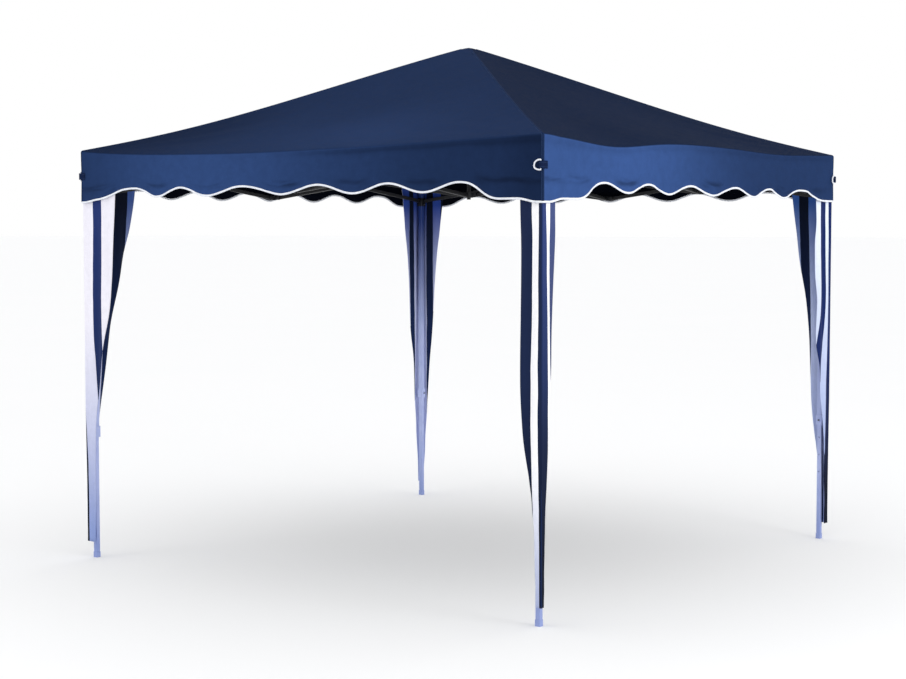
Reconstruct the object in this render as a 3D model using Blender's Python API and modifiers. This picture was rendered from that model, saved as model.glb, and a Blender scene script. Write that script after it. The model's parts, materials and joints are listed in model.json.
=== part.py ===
"""Pop up gazebo: a square canopy on a folding frame of scissor bars and four telescopic legs.

Metres, +Z up. The origin is on the ground under the canopy's peak. The front side is at -Y.
Each side of the frame is the front side turned a quarter further about Z, so the sides and the
corners are made by loops. Lengths along a side are given in the front side's own directions:
X to the right as seen from outside, Y inwards.
"""

import math

import bmesh
import bpy
from mathutils import Matrix, Vector

SIDES = ("front", "right", "back", "left")
CORNERS = ("front_right", "back_right", "back_left", "front_left")  # each side's right-hand end

# Canopy
CANOPY_HALF = 1.500  # centre to the eave
EAVE_Z = 2.210
PEAK_Z = 2.800
CANOPY_THICKNESS = 0.002
EAVE_STEPS = 36  # straight pieces along each side's hem
HEM_Z = 1.978  # middle of the scallops
HEM_WAVE = 0.022  # above and below the middle
CORNER_LOBE = 0.450  # corner to the first crest
HALF_WAVE = 0.210  # crest to trough between the corner lobes
CORNER_DROP = 0.018  # how much deeper the hem hangs at a corner

# Scissor frame
LEG_OFFSET = 1.455  # leg centre from the centre lines
TRUSS_TOP_Z = 2.160  # upper pivots
TRUSS_DEPTH = 0.180  # upper to lower pivots when open
HUB_REACH = 0.040  # centre to the hub's pivots
MID_REACH = 0.030  # middle bracket's centre to its pivots
LEG_REACH = 0.040  # leg centre to its pivots
BAR_HEIGHT = 0.022
BAR_THICKNESS = 0.012
BAR_WALL = 0.001
BAR_LAP = 0.009  # bar end beyond its pivot
BAR_CORNER = 0.0020
LAYER = 0.007  # bar's middle plane to the truss plane

BAR_SPAN = LEG_OFFSET - LEG_REACH - MID_REACH
BAR_LENGTH = math.hypot(BAR_SPAN, TRUSS_DEPTH)
BAR_ANGLE = math.atan2(TRUSS_DEPTH, BAR_SPAN)
TRUSS_LOW_Z = TRUSS_TOP_Z - TRUSS_DEPTH

# Pins and brackets
PIN_SIDES = 12
PIN_RADIUS = 0.0030
PIN_HOLE_RADIUS = 0.00325
PIN_HEAD_RADIUS = 0.0050
PIN_HEAD_HEIGHT = 0.0015
PIN_PLAY = 0.0005  # bar face to pin head
LAP = 0.00025  # how far a joined shape runs into its neighbour
BRACKET_CORNER = 0.0025
PLATE_NEAR = 0.001  # ear plate's faces from the truss plane
PLATE_FAR = 0.005
EAR_HALF_HEIGHT = 0.012
EAR_LAP = 0.012  # ear beyond its pin
EAR_ROOT = 0.003  # how deep an ear starts inside the wall that carries it
MID_CORE_HALF = 0.014
MID_CORE_HALF_HEIGHT = 0.013
HUB_RADIUS = 0.024
HUB_HALF_HEIGHT = 0.015
HUB_SIDES = 16

# Centre pole
POLE_RADIUS = 0.011
POLE_WALL = 0.001
POLE_LOW_Z = 1.955
CAP_RADIUS = 0.042
CAP_RIM_RADIUS = 0.038
CAP_CROWN_RADIUS = 0.017
CAP_TOP_Z = 2.778
CAP_HEIGHT = 0.022
POLE_PLAY_FIXED = 0.0004
POLE_PLAY_RUNNING = 0.0012

# Legs
OUTER_HALF = 0.0150
INNER_HALF = 0.0125
TUBE_WALL = 0.0012
TUBE_CORNER = 0.0030
OUTER_TOP_Z = TRUSS_TOP_Z + 0.020
OUTER_LOW_Z = 0.660
INNER_TOP_Z = 1.150
TOP_BLOCK_HALF = 0.0175
TOP_BLOCK_LOW_Z = TRUSS_TOP_Z - 0.030
COLLAR_HALF = 0.0190
COLLAR_TOP_Z = 0.720
COLLAR_BORE_HALF = 0.0130
FOOT_HALF = 0.0140
FOOT_HEIGHT = 0.030
FOOT_SOLE = 0.004
LOCK_HOLE_COUNT = 4
LOCK_HOLE_RADIUS = 0.0035
LOCK_HOLE_PITCH = 0.100

# Sliders
SLIDER_HALF = 0.0195
SLIDER_BORE_HALF = 0.0155
SLIDER_ABOVE = 0.018  # above its pivots
SLIDER_BELOW = 0.036
SLIDER_BUTTON_DROP = 0.024  # button below the pivots

# Push buttons, measured out from the wall's inner face
BUTTON_RADIUS = 0.0050
BUTTON_HOLE_RADIUS = 0.0054
BUTTON_TIP_RADIUS = 0.0036
BUTTON_CROWN = 0.0015  # height of the domed end
BUTTON_NEAR = 0.0039
BUTTON_FAR = 0.0144
BOSS_RADIUS = 0.0080
BOSS_FAR = 0.0105
COLLAR_BUTTON_Z = 0.690

# Leg curtains
CURTAIN_OFFSET = 0.039  # leg centre to the cloth's middle plane
CURTAIN_THICKNESS = 0.003
CURTAIN_TOP_Z = 2.190
CURTAIN_LOW_Z = 0.090
CURTAIN_TIE_Z = 0.600  # below here the cloth is gathered round the leg
CURTAIN_TIE_WIDTH = 0.046
CURTAIN_ROWS = 8
CURTAIN_TOP_WIDTHS = {  # the wing on the corner's own side, then the wing on the next side
    "front_right": (0.133, 0.118),
    "back_right": (0.190, 0.270),
    "back_left": (0.230, 0.235),
    "front_left": (0.400, 0.255),
}

MATERIALS = {  # colour, roughness, metallic
    "frame_paint": ((0.72, 0.73, 0.78), 0.38, 0.0),
    "bracket_plastic": ((0.30, 0.31, 0.34), 0.50, 0.0),
    "button_plastic": ((0.55, 0.57, 0.62), 0.45, 0.0),
    "canopy_cloth": ((0.022, 0.040, 0.105), 0.85, 0.0),
    "curtain_cloth": ((0.110, 0.160, 0.400), 0.85, 0.0),
}


def clear_scene():
    """Remove every object of the starting scene."""
    for item in list(bpy.data.objects):
        bpy.data.objects.remove(item)


def new_collection(name):
    """A collection in the scene."""
    collection = bpy.data.collections.new(name)
    bpy.context.scene.collection.children.link(collection)
    return collection


def make_material(name):
    """A Principled material from the table above."""
    colour, roughness, metallic = MATERIALS[name]
    material = bpy.data.materials.new(name)
    material.use_nodes = True
    shader = material.node_tree.nodes["Principled BSDF"]
    shader.inputs["Base Color"].default_value = (*colour, 1.0)
    shader.inputs["Roughness"].default_value = roughness
    shader.inputs["Metallic"].default_value = metallic
    material.diffuse_color = (*colour, 1.0)
    return material


def mesh_from(bm, name):
    """Turn a bmesh into mesh data."""
    mesh = bpy.data.meshes.new(name)
    bm.to_mesh(mesh)
    bm.free()
    return mesh


def box(low, high, corner_radius=0.0, corner_steps=2, length_axis=2):
    """A box between two opposite corners, its edges along one axis rounded."""
    low = Vector(low)
    high = Vector(high)
    bm = bmesh.new()
    place = Matrix.Translation((low + high) / 2) @ Matrix.Diagonal((*(high - low), 1.0))
    bmesh.ops.create_cube(bm, size=1.0, matrix=place)
    if corner_radius > 0:
        long_edges = [
            edge for edge in bm.edges
            if abs(edge.verts[0].co[length_axis] - edge.verts[1].co[length_axis]) > corner_radius
        ]
        bmesh.ops.bevel(
            bm, geom=long_edges, offset=corner_radius, segments=corner_steps, profile=0.5, affect="EDGES"
        )
    return mesh_from(bm, "box")


def post(half, low_z, high_z, corner_radius=0.0):
    """An upright square post about the Z axis."""
    return box((-half, -half, low_z), (half, half, high_z), corner_radius)


def rod(start, end, radius, sides=PIN_SIDES, end_radius=None):
    """A round rod, or a cone with its own end radius, between two points."""
    start = Vector(start)
    end = Vector(end)
    along = end - start
    turn = along.to_track_quat("Z", "Y").to_matrix().to_4x4()
    bm = bmesh.new()
    bmesh.ops.create_cone(
        bm,
        cap_ends=True,
        segments=sides,
        radius1=radius,
        radius2=radius if end_radius is None else end_radius,
        depth=along.length,
        matrix=Matrix.Translation((start + end) / 2) @ turn,
    )
    return mesh_from(bm, "rod")


def gathered(meshes):
    """Several meshes that stay apart, as one mesh."""
    bm = bmesh.new()
    for mesh in meshes:
        bm.from_mesh(mesh)
    return mesh_from(bm, "gathered")


def turned(mesh, quarter_turns):
    """The same mesh, turned about Z by quarter turns."""
    mesh.transform(Matrix.Rotation(quarter_turns * math.pi / 2, 4, "Z"))
    return mesh


def build(name, base, *steps):
    """Add (UNION) or cut (DIFFERENCE) each step's mesh in turn, and return the finished mesh."""
    target = bpy.data.objects.new(name, base)
    CUTTERS.objects.link(target)
    tools = []
    for operation, mesh in steps:
        tool = bpy.data.objects.new(f"{name}_{operation.lower()}", mesh)
        CUTTERS.objects.link(tool)
        tool.hide_render = True
        tool.display_type = "WIRE"
        modifier = target.modifiers.new(operation.title(), "BOOLEAN")
        modifier.operation = operation
        modifier.solver = "EXACT"
        modifier.object = tool
        tools.append(tool)
    evaluated = target.evaluated_get(bpy.context.evaluated_depsgraph_get())
    result = bpy.data.meshes.new_from_object(evaluated)
    result.name = name
    for item in [target, *tools]:
        bpy.data.objects.remove(item)
    return result


def add(mesh):
    """A step that joins a mesh on."""
    return ("UNION", mesh)


def cut(mesh):
    """A step that cuts a mesh away."""
    return ("DIFFERENCE", mesh)


def moved(mesh, origin):
    """The mesh with its origin moved to a point."""
    mesh.transform(Matrix.Translation(-Vector(origin)))
    return mesh


def place(name, mesh, material, matrix):
    """Put a named object in the gazebo's collection, in world space."""
    if not mesh.materials:
        mesh.materials.append(material)
    item = bpy.data.objects.new(name, mesh)
    GAZEBO.objects.link(item)
    item.matrix_world = matrix
    return item


def side_turn(side):
    """The front side's frame turned to another side."""
    return Matrix.Rotation(side * math.pi / 2, 4, "Z")


def bar_pose(side, origin, direction, outwards):
    """A bar's place: its length along a direction, its rivet pointing along outwards."""
    along = Vector(direction)
    across = Vector(outwards)
    turn = Matrix((along, across, along.cross(across))).transposed().to_4x4()
    return side_turn(side) @ Matrix.Translation(origin) @ turn


def bar_mesh(name, origin_along, riveted):
    """A hollow flat-sided bar along X with pivot holes at both ends, and a rivet or a hole midway."""
    half_height = BAR_HEIGHT / 2
    half_thickness = BAR_THICKNESS / 2
    inside = BAR_LAP * 2
    outer = box(
        (-BAR_LAP, -half_thickness, -half_height),
        (BAR_LENGTH + BAR_LAP, half_thickness, half_height),
        BAR_CORNER,
        1,
        0,
    )
    hollow = box(
        (-inside, BAR_WALL - half_thickness, BAR_WALL - half_height),
        (BAR_LENGTH + inside, half_thickness - BAR_WALL, half_height - BAR_WALL),
        BAR_CORNER - BAR_WALL,
        1,
        0,
    )
    steps = [cut(hollow)]
    middle = BAR_LENGTH / 2
    holes = (0.0, BAR_LENGTH) if riveted else (0.0, middle, BAR_LENGTH)
    for x in holes:
        steps.append(cut(rod((x, -BAR_THICKNESS, 0), (x, BAR_THICKNESS, 0), PIN_HOLE_RADIUS)))
    if riveted:
        near = -half_thickness - PIN_HEAD_HEIGHT
        head = 2 * LAYER + half_thickness + PIN_PLAY
        far = head + PIN_HEAD_HEIGHT
        steps.append(add(rod((middle, near + LAP, 0), (middle, far - LAP, 0), PIN_RADIUS)))
        steps.append(add(rod((middle, near, 0), (middle, LAP - half_thickness, 0), PIN_HEAD_RADIUS)))
        steps.append(add(rod((middle, head, 0), (middle, far, 0), PIN_HEAD_RADIUS)))
    return moved(build(name, outer, *steps), (origin_along, 0, 0))


def ear(layer, root, pivot, height):
    """An ear plate reaching along -Y from a root to its pin, for a bar in a layer at +X or -X."""
    end = pivot - EAR_LAP
    plate = box(
        (min(-layer * PLATE_FAR, -layer * PLATE_NEAR), end, height - EAR_HALF_HEIGHT),
        (max(-layer * PLATE_FAR, -layer * PLATE_NEAR), root, height + EAR_HALF_HEIGHT),
    )
    head = layer * (LAYER + BAR_THICKNESS / 2 + PIN_PLAY)
    tip = head + layer * PIN_HEAD_HEIGHT
    start = -layer * (PLATE_NEAR + PLATE_FAR) / 2
    shaft = rod((start, pivot, height), (tip - layer * LAP, pivot, height), PIN_RADIUS)
    cap = rod((head, pivot, height), (tip, pivot, height), PIN_HEAD_RADIUS)
    return [plate, shaft, cap]


def hub_mesh(name, layer, height, play):
    """A round hub with four ears, bored for the centre pole."""
    low = height - HUB_HALF_HEIGHT
    high = height + HUB_HALF_HEIGHT
    core = rod((0, 0, low), (0, 0, high), HUB_RADIUS, HUB_SIDES)
    steps = []
    for side in range(len(SIDES)):
        for piece in ear(layer, -HUB_RADIUS / 2 - PLATE_FAR, -HUB_REACH, height):
            steps.append(add(turned(piece, side)))
    bore = (POLE_RADIUS + play) / math.cos(math.pi / HUB_SIDES)
    steps.append(cut(rod((0, 0, low - LAP), (0, 0, high + LAP), bore, HUB_SIDES)))
    return build(name, core, *steps)


def mid_bracket_mesh(name, layer):
    """A bracket at the middle of a side: two pins for the side's bars and one for the inner bar.

    Its origin is on the inner bar's pin. The side's bars lie in the layer at +Y or -Y.
    """
    core_low = min(-layer * PLATE_FAR, layer * 2 * LAYER - layer * PLATE_NEAR)
    core_high = max(-layer * PLATE_FAR, layer * 2 * LAYER - layer * PLATE_NEAR)
    core = box(
        (-MID_CORE_HALF, core_low, -MID_CORE_HALF_HEIGHT),
        (MID_CORE_HALF, core_high, MID_CORE_HALF_HEIGHT),
        BRACKET_CORNER,
    )
    steps = []
    for piece in ear(layer, -MID_CORE_HALF / 2, -MID_REACH, 0):
        steps.append(add(turned(piece, 1)))
    for piece in ear(-layer, -MID_CORE_HALF / 2, -MID_REACH, 0):
        steps.append(add(turned(piece, 3)))
    for piece in ear(-layer, core_low if layer > 0 else 0, -MID_REACH, 0):
        steps.append(add(turned(piece, 2)))
    return moved(build(name, core, *steps), (0, MID_REACH, 0))


def leg_ears(layer, height):
    """The two ears on a leg, one for each side's bars, about the leg's centre."""
    root = EAR_ROOT - OUTER_HALF
    pieces = [turned(piece, 3) for piece in ear(-layer, root, -LEG_REACH, height)]
    pieces += [turned(piece, 2) for piece in ear(layer, root, -LEG_REACH, height)]
    return [add(piece) for piece in pieces]


def button_seat(bore_half, height):
    """A boss on the wall facing -X with a hole through it for a push button."""
    wall = -bore_half
    boss = rod((wall - BUTTON_NEAR, 0, height), (wall - BOSS_FAR, 0, height), BOSS_RADIUS)
    hole = rod((wall + BUTTON_NEAR, 0, height), (wall - BUTTON_FAR, 0, height), BUTTON_HOLE_RADIUS)
    return [add(boss), cut(hole)]


def outer_leg_mesh():
    """Upper square tube with its top bracket and its bottom collar, origin on its first pin."""
    tube = post(OUTER_HALF, OUTER_LOW_Z + LAP, OUTER_TOP_Z - LAP, TUBE_CORNER)
    collar = post(COLLAR_HALF, OUTER_LOW_Z, COLLAR_TOP_Z, TUBE_CORNER)
    top_block = post(TOP_BLOCK_HALF, TOP_BLOCK_LOW_Z, OUTER_TOP_Z, TUBE_CORNER)
    inside_corner = TUBE_CORNER - TUBE_WALL
    inside = post(OUTER_HALF - TUBE_WALL, COLLAR_TOP_Z - LAP, TOP_BLOCK_LOW_Z - LAP, inside_corner)
    collar_bore = post(COLLAR_BORE_HALF, OUTER_LOW_Z - LAP, COLLAR_TOP_Z)
    steps = [add(collar), add(top_block), *leg_ears(-1, TRUSS_TOP_Z)]
    steps += [cut(inside), cut(collar_bore), *button_seat(COLLAR_BORE_HALF, COLLAR_BUTTON_Z)]
    return moved(build("outer_leg", tube, *steps), (-LEG_REACH, 0, TRUSS_TOP_Z))


def inner_leg_mesh():
    """Lower square tube with its foot and a row of lock holes, origin on the leg's centre line."""
    tube = post(INNER_HALF, FOOT_SOLE, INNER_TOP_Z, TUBE_CORNER)
    foot = post(FOOT_HALF, 0, FOOT_HEIGHT, BRACKET_CORNER)
    inside_corner = TUBE_CORNER - TUBE_WALL
    inside = post(INNER_HALF - TUBE_WALL, FOOT_SOLE + LAP, INNER_TOP_Z + LAP, inside_corner)
    holes = []
    for index in range(LOCK_HOLE_COUNT):
        z = COLLAR_BUTTON_Z - index * LOCK_HOLE_PITCH
        holes.append(rod((-INNER_HALF / 2, 0, z), (-INNER_HALF * 2, 0, z), LOCK_HOLE_RADIUS))
    return build("inner_leg", tube, add(foot), cut(inside), cut(gathered(holes)))


def slider_mesh():
    """A sleeve round the upper tube with two ears and a button seat, origin on its first pin."""
    sleeve = post(SLIDER_HALF, -SLIDER_BELOW, SLIDER_ABOVE, TUBE_CORNER)
    bore = post(SLIDER_BORE_HALF, -SLIDER_BELOW - LAP, SLIDER_ABOVE + LAP)
    boss, hole = button_seat(SLIDER_BORE_HALF, -SLIDER_BUTTON_DROP)
    steps = [*leg_ears(1, 0), boss, cut(bore), hole]
    return moved(build("slider", sleeve, *steps), (-LEG_REACH, 0, 0))


def button_mesh():
    """A push button along X with a slightly domed outer end, origin at its inner end."""
    length = BUTTON_FAR - BUTTON_NEAR
    shoulder = BUTTON_CROWN - length
    shank = rod((0, 0, 0), (shoulder, 0, 0), BUTTON_RADIUS)
    crown = rod((shoulder + LAP, 0, 0), (-length, 0, 0), BUTTON_RADIUS, PIN_SIDES, BUTTON_TIP_RADIUS)
    return build("button", shank, add(crown))


def pole_mesh():
    """The centre pole with the mushroom cap that lifts the canopy's peak, open at the bottom."""
    cap_low = CAP_TOP_Z - CAP_HEIGHT
    waist = cap_low + CAP_HEIGHT / 2
    tube = rod((0, 0, POLE_LOW_Z), (0, 0, waist), POLE_RADIUS, HUB_SIDES)
    rim = rod((0, 0, cap_low), (0, 0, waist + LAP), CAP_RIM_RADIUS, HUB_SIDES, CAP_RADIUS)
    crown = rod((0, 0, waist), (0, 0, CAP_TOP_Z), CAP_RADIUS, HUB_SIDES, CAP_CROWN_RADIUS)
    inside = rod((0, 0, POLE_LOW_Z - LAP), (0, 0, cap_low), POLE_RADIUS - POLE_WALL, HUB_SIDES)
    return build("centre_pole", tube, add(rim), add(crown), cut(inside))


def hem_height(distance):
    """Height of the scalloped hem at a distance from a corner."""
    near = min(distance, 2 * CANOPY_HALF - distance)
    if near < CORNER_LOBE:
        phase = math.pi * near / CORNER_LOBE
        drop = CORNER_DROP * (1 - near / CORNER_LOBE) ** 2
    else:
        phase = math.pi * (1 + (near - CORNER_LOBE) / HALF_WAVE)
        drop = 0.0
    return HEM_Z - HEM_WAVE * math.cos(phase) - drop


def canopy_mesh():
    """The roof, a four-sided pyramid, with a valance that ends in a scalloped hem."""
    bm = bmesh.new()
    bmesh.ops.create_cone(
        bm,
        cap_ends=False,
        segments=4,
        radius1=CANOPY_HALF * math.sqrt(2),
        radius2=0.0,
        depth=PEAK_Z - EAVE_Z,
        matrix=Matrix.Translation((0, 0, (PEAK_Z + EAVE_Z) / 2)) @ Matrix.Rotation(math.pi / 4, 4, "Z"),
    )
    bmesh.ops.remove_doubles(bm, verts=bm.verts, dist=0.0001)
    eave = [edge for edge in bm.edges if edge.is_boundary]
    bmesh.ops.subdivide_edges(bm, edges=eave, cuts=EAVE_STEPS - 1)
    eave = [edge for edge in bm.edges if edge.is_boundary]
    fall = bmesh.ops.extrude_edge_only(bm, edges=eave)
    for vertex in fall["geom"]:
        if isinstance(vertex, bmesh.types.BMVert):
            on_end = abs(vertex.co.x) > abs(vertex.co.y)
            vertex.co.z = hem_height(CANOPY_HALF + (vertex.co.y if on_end else vertex.co.x))
    bmesh.ops.recalc_face_normals(bm, faces=bm.faces)
    return mesh_from(bm, "canopy")


def curtain_width(height, top_width):
    """How far a wing of a leg curtain reaches from its corner edge."""
    share = max(0.0, (height - CURTAIN_TIE_Z) / (CURTAIN_TOP_Z - CURTAIN_TIE_Z))
    return CURTAIN_TIE_WIDTH + share * (top_width - CURTAIN_TIE_WIDTH)


def curtain_mesh(top_widths):
    """Cloth outside a leg: two wings that meet at the corner edge and narrow towards the foot."""
    bm = bmesh.new()
    bmesh.ops.create_grid(bm, x_segments=2, y_segments=CURTAIN_ROWS, size=1.0)
    for vertex in bm.verts:
        wing = round(vertex.co.x)
        height = CURTAIN_LOW_Z + (vertex.co.y + 1) / 2 * (CURTAIN_TOP_Z - CURTAIN_LOW_Z)
        reach = curtain_width(height, top_widths[max(wing, 0)])
        vertex.co = (
            CURTAIN_OFFSET + min(wing, 0) * reach,
            max(wing, 0) * reach - CURTAIN_OFFSET,
            height,
        )
    bmesh.ops.recalc_face_normals(bm, faces=bm.faces)
    return mesh_from(bm, "leg_curtain")


def solidify(item, thickness, offset):
    """Give an open surface its thickness."""
    modifier = item.modifiers.new("Thickness", "SOLIDIFY")
    modifier.thickness = thickness
    modifier.offset = offset
    modifier.use_even_offset = True


def make_centre(materials):
    """The parts on the centre line: canopy, pole and both hubs."""
    canopy = place("canopy", canopy_mesh(), materials["canopy_cloth"], Matrix())
    solidify(canopy, CANOPY_THICKNESS, -1)
    place("centre_pole", pole_mesh(), materials["frame_paint"], Matrix())
    upper = hub_mesh("upper_hub", -1, TRUSS_TOP_Z, POLE_PLAY_FIXED)
    place("upper_hub", upper, materials["bracket_plastic"], Matrix())
    pivot = (0, -HUB_REACH, TRUSS_LOW_Z)
    lower = moved(hub_mesh("lower_hub", 1, TRUSS_LOW_Z, POLE_PLAY_RUNNING), pivot)
    place("lower_hub", lower, materials["bracket_plastic"], Matrix.Translation(pivot))


def make_sides(materials):
    """Each side's scissor bars, its two middle brackets and the inner bars to the hubs."""
    riveted = bar_mesh("riveted_bar", 0.0, True)
    plain = bar_mesh("plain_bar", 0.0, False)
    crossing = bar_mesh("crossing_bar", BAR_LENGTH / 2, False)
    upper_bracket = mid_bracket_mesh("upper_mid_bracket", 1)
    lower_bracket = mid_bracket_mesh("lower_mid_bracket", -1)
    paint = materials["frame_paint"]
    plastic = materials["bracket_plastic"]
    level = math.cos(BAR_ANGLE)
    slope = math.sin(BAR_ANGLE)
    inwards = (0, 1, 0)
    for side, name in enumerate(SIDES):
        hub_pivot = (-LAYER, -HUB_REACH, TRUSS_TOP_Z)
        cross_pivot = (LAYER, -HUB_REACH - BAR_SPAN / 2, TRUSS_TOP_Z - TRUSS_DEPTH / 2)
        down = bar_pose(side, hub_pivot, (0, -level, -slope), (1, 0, 0))
        up = bar_pose(side, cross_pivot, (0, -level, slope), (1, 0, 0))
        place(f"{name}_inner_bar_down", riveted, paint, down)
        place(f"{name}_inner_bar_up", crossing, paint, up)
        for bracket, height in ((upper_bracket, TRUSS_TOP_Z), (lower_bracket, TRUSS_LOW_Z)):
            pose = side_turn(side) @ Matrix.Translation((0, MID_REACH - LEG_OFFSET, height))
            place(f"{name}_{bracket.name}", bracket, plastic, pose)
        for hand, sign in (("right", 1), ("left", -1)):
            low_pivot = (sign * MID_REACH, -LEG_OFFSET - LAYER, TRUSS_LOW_Z)
            high_pivot = (sign * MID_REACH, -LEG_OFFSET + LAYER, TRUSS_TOP_Z)
            rising = bar_pose(side, low_pivot, (sign * level, 0, slope), inwards)
            falling = bar_pose(side, high_pivot, (sign * level, 0, -slope), inwards)
            place(f"{name}_rising_bar_{hand}", riveted, paint, rising)
            place(f"{name}_falling_bar_{hand}", plain, paint, falling)


def make_corners(materials):
    """Each leg's two tubes, slider, push buttons and curtain."""
    outer = outer_leg_mesh()
    inner = inner_leg_mesh()
    slider = slider_mesh()
    button = button_mesh()
    slider_button_x = -SLIDER_BORE_HALF - BUTTON_NEAR
    slider_button_z = TRUSS_LOW_Z - SLIDER_BUTTON_DROP
    leg_button_x = -COLLAR_BORE_HALF - BUTTON_NEAR
    for corner, name in enumerate(CORNERS):
        leg = side_turn(corner) @ Matrix.Translation((LEG_OFFSET, -LEG_OFFSET, 0))
        curtain = curtain_mesh(CURTAIN_TOP_WIDTHS[name])
        pieces = (
            ("outer_leg", outer, "frame_paint", (-LEG_REACH, 0, TRUSS_TOP_Z)),
            ("inner_leg", inner, "frame_paint", (0, 0, 0)),
            ("slider", slider, "bracket_plastic", (-LEG_REACH, 0, TRUSS_LOW_Z)),
            ("slider_button", button, "button_plastic", (slider_button_x, 0, slider_button_z)),
            ("leg_button", button, "button_plastic", (leg_button_x, 0, COLLAR_BUTTON_Z)),
            ("leg_curtain", curtain, "curtain_cloth", (0, 0, 0)),
        )
        for piece, mesh, material, offset in pieces:
            item = place(f"{name}_{piece}", mesh, materials[material], leg @ Matrix.Translation(offset))
            if piece == "leg_curtain":
                solidify(item, CURTAIN_THICKNESS, 0)


clear_scene()
GAZEBO = new_collection("pop_up_gazebo")
CUTTERS = new_collection("cutters")
PAINTS = {name: make_material(name) for name in MATERIALS}
make_centre(PAINTS)
make_sides(PAINTS)
make_corners(PAINTS)
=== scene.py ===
"""Looks of the pop up gazebo: sewn canopy, striped leg curtains, rings, frame finishes and studio."""

import json
import math

import bpy
from mathutils import Matrix, Vector, noise

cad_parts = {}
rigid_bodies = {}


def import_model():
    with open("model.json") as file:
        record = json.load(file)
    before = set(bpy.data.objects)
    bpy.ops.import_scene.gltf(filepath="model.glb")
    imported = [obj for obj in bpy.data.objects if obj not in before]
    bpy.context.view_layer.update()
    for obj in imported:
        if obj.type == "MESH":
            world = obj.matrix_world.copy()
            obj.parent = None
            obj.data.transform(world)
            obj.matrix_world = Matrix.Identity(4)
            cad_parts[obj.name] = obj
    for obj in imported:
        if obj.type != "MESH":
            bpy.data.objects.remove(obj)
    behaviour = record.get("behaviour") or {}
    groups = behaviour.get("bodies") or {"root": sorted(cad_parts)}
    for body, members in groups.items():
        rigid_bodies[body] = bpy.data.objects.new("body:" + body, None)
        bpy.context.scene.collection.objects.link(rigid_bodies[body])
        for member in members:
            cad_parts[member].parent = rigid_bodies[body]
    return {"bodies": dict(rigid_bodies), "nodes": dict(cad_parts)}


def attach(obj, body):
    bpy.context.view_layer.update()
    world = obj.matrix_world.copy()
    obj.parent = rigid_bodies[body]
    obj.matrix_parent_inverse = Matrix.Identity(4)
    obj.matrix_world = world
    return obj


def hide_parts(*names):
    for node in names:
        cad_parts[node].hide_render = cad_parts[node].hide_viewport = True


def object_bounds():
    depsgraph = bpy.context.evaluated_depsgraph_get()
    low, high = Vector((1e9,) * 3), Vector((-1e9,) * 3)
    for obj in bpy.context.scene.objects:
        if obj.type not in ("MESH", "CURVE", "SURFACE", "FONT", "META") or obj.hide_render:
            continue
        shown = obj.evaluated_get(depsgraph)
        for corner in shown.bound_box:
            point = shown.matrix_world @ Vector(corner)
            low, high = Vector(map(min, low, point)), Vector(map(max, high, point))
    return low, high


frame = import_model()
cad_low, cad_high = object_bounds()

CORNERS = ("front_right", "back_right", "back_left", "front_left")

# Canopy, in metres and radians
HALF = round(cad_high[0], 4)  # centre to the eave
PEAK_Z = round(cad_high[2], 4)
EAVE_Z = 2.210
HEM_Z = 1.978
HEM_WAVE = 0.022
CORNER_LOBE = 0.460  # corner to the first crest
HALF_WAVE = 0.210  # crest to trough between the corner lobes
# For each corner, front right first: how far the hem stays low, how low it hangs there, and how
# much lower its tip is
CORNER_HEMS = ((0.230, 0.034, 0.016), (0.110, 0.010, 0.0), (0.180, 0.018, 0.006), (0.060, 0.014, 0.012))
HIP_SAGS = (0.016, 0.030, 0.032, 0.036)  # each corner's hip, front right corner first
CLOTH = 0.0012
FOLD_RADIUS = 0.011  # the soft fold at the eave
CORNER_RADIUS = 0.009
SLOPE = math.atan2(PEAK_Z - EAVE_Z, HALF)
FOLD_TURN = math.pi / 2 - SLOPE
FOLD_REACH = FOLD_RADIUS * math.tan(FOLD_TURN / 2)
FOLD_TOP_Z = EAVE_Z - FOLD_REACH
ROOF_END = 1 - FOLD_REACH * math.cos(SLOPE) / HALF  # the roof's share from the peak to the eave fold
PEAK_BLUNT = 0.010  # the share of the roof that the peak is rounded over

# The canopy's mesh
SIDE_STEPS = 160  # steps along each side at the eave
CORNER_STEPS = (0.003, 0.003, 0.004, 0.005, 0.007, 0.010, 0.014)  # the steps next to a corner
FOLD_ROWS = 6
FALL_ROWS = 6
FINE_FALL_ROWS = 14
# The roof's bands as (first share, last share, rows, steps to the side)
ROOF_BANDS = (
    (0.012, 0.05, 4, 5),
    (0.05, 0.12, 5, 10),
    (0.12, 0.28, 7, 20),
    (0.28, 0.52, 9, 40),
    (0.52, 0.80, 10, 80),
    (0.80, ROOF_END, 14, SIDE_STEPS),
)
FINE_FALL = 0.42  # from this share of the valance down, the rows have twice the steps

# The canopy when the frame is folded
FOLDED_SHARE = 0.1415  # its width, as a share of its full width
CAP_REACH = 0.058  # the half width that it keeps over the pole's cap

# Legs and curtains
LEG_OFFSET = HALF - 0.045
TOP_BRACKET_Z = 2.1298  # the moulded bracket on the leg starts here
CURTAIN_OFFSET = LEG_OFFSET + 0.039
CURTAIN_TOP_Z = 2.150
CURTAIN_LOW_Z = 0.090
BUNCH_TOP_Z = 1.880  # the curtain gathers below this height when its leg is shortened
CURTAIN_CLOTH = 0.0018
CURTAIN_CORNER = 0.008
WING_STEPS = 26
CURTAIN_ROWS = 110
STRIPE_SPAN = 0.5  # the stripes' ramp reads from this far on one wing to this far on the other

# Sewing
WEAVE_PITCH = 0.0008
CURTAIN_WEAVE_PITCH = 0.0007
TAPE_RIB_PITCH = 0.0014
STITCH_LENGTH = 0.0045
TAPE_STITCH_LENGTH = 0.0040
TAPE_SIDES = 12
SEAM_HALF = 0.0075
SEAM_ROWS = 70
SEAM_FALL_ROWS = 23
RING_Z = 2.074


def smooth(low, high, value):
    """0 below low, 1 above high, and an even turn between."""
    share = min(1.0, max(0.0, (value - low) / (high - low)))
    return share * share * (3 - 2 * share)


def mix(a, b, share):
    return a + (b - a) * share


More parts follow.
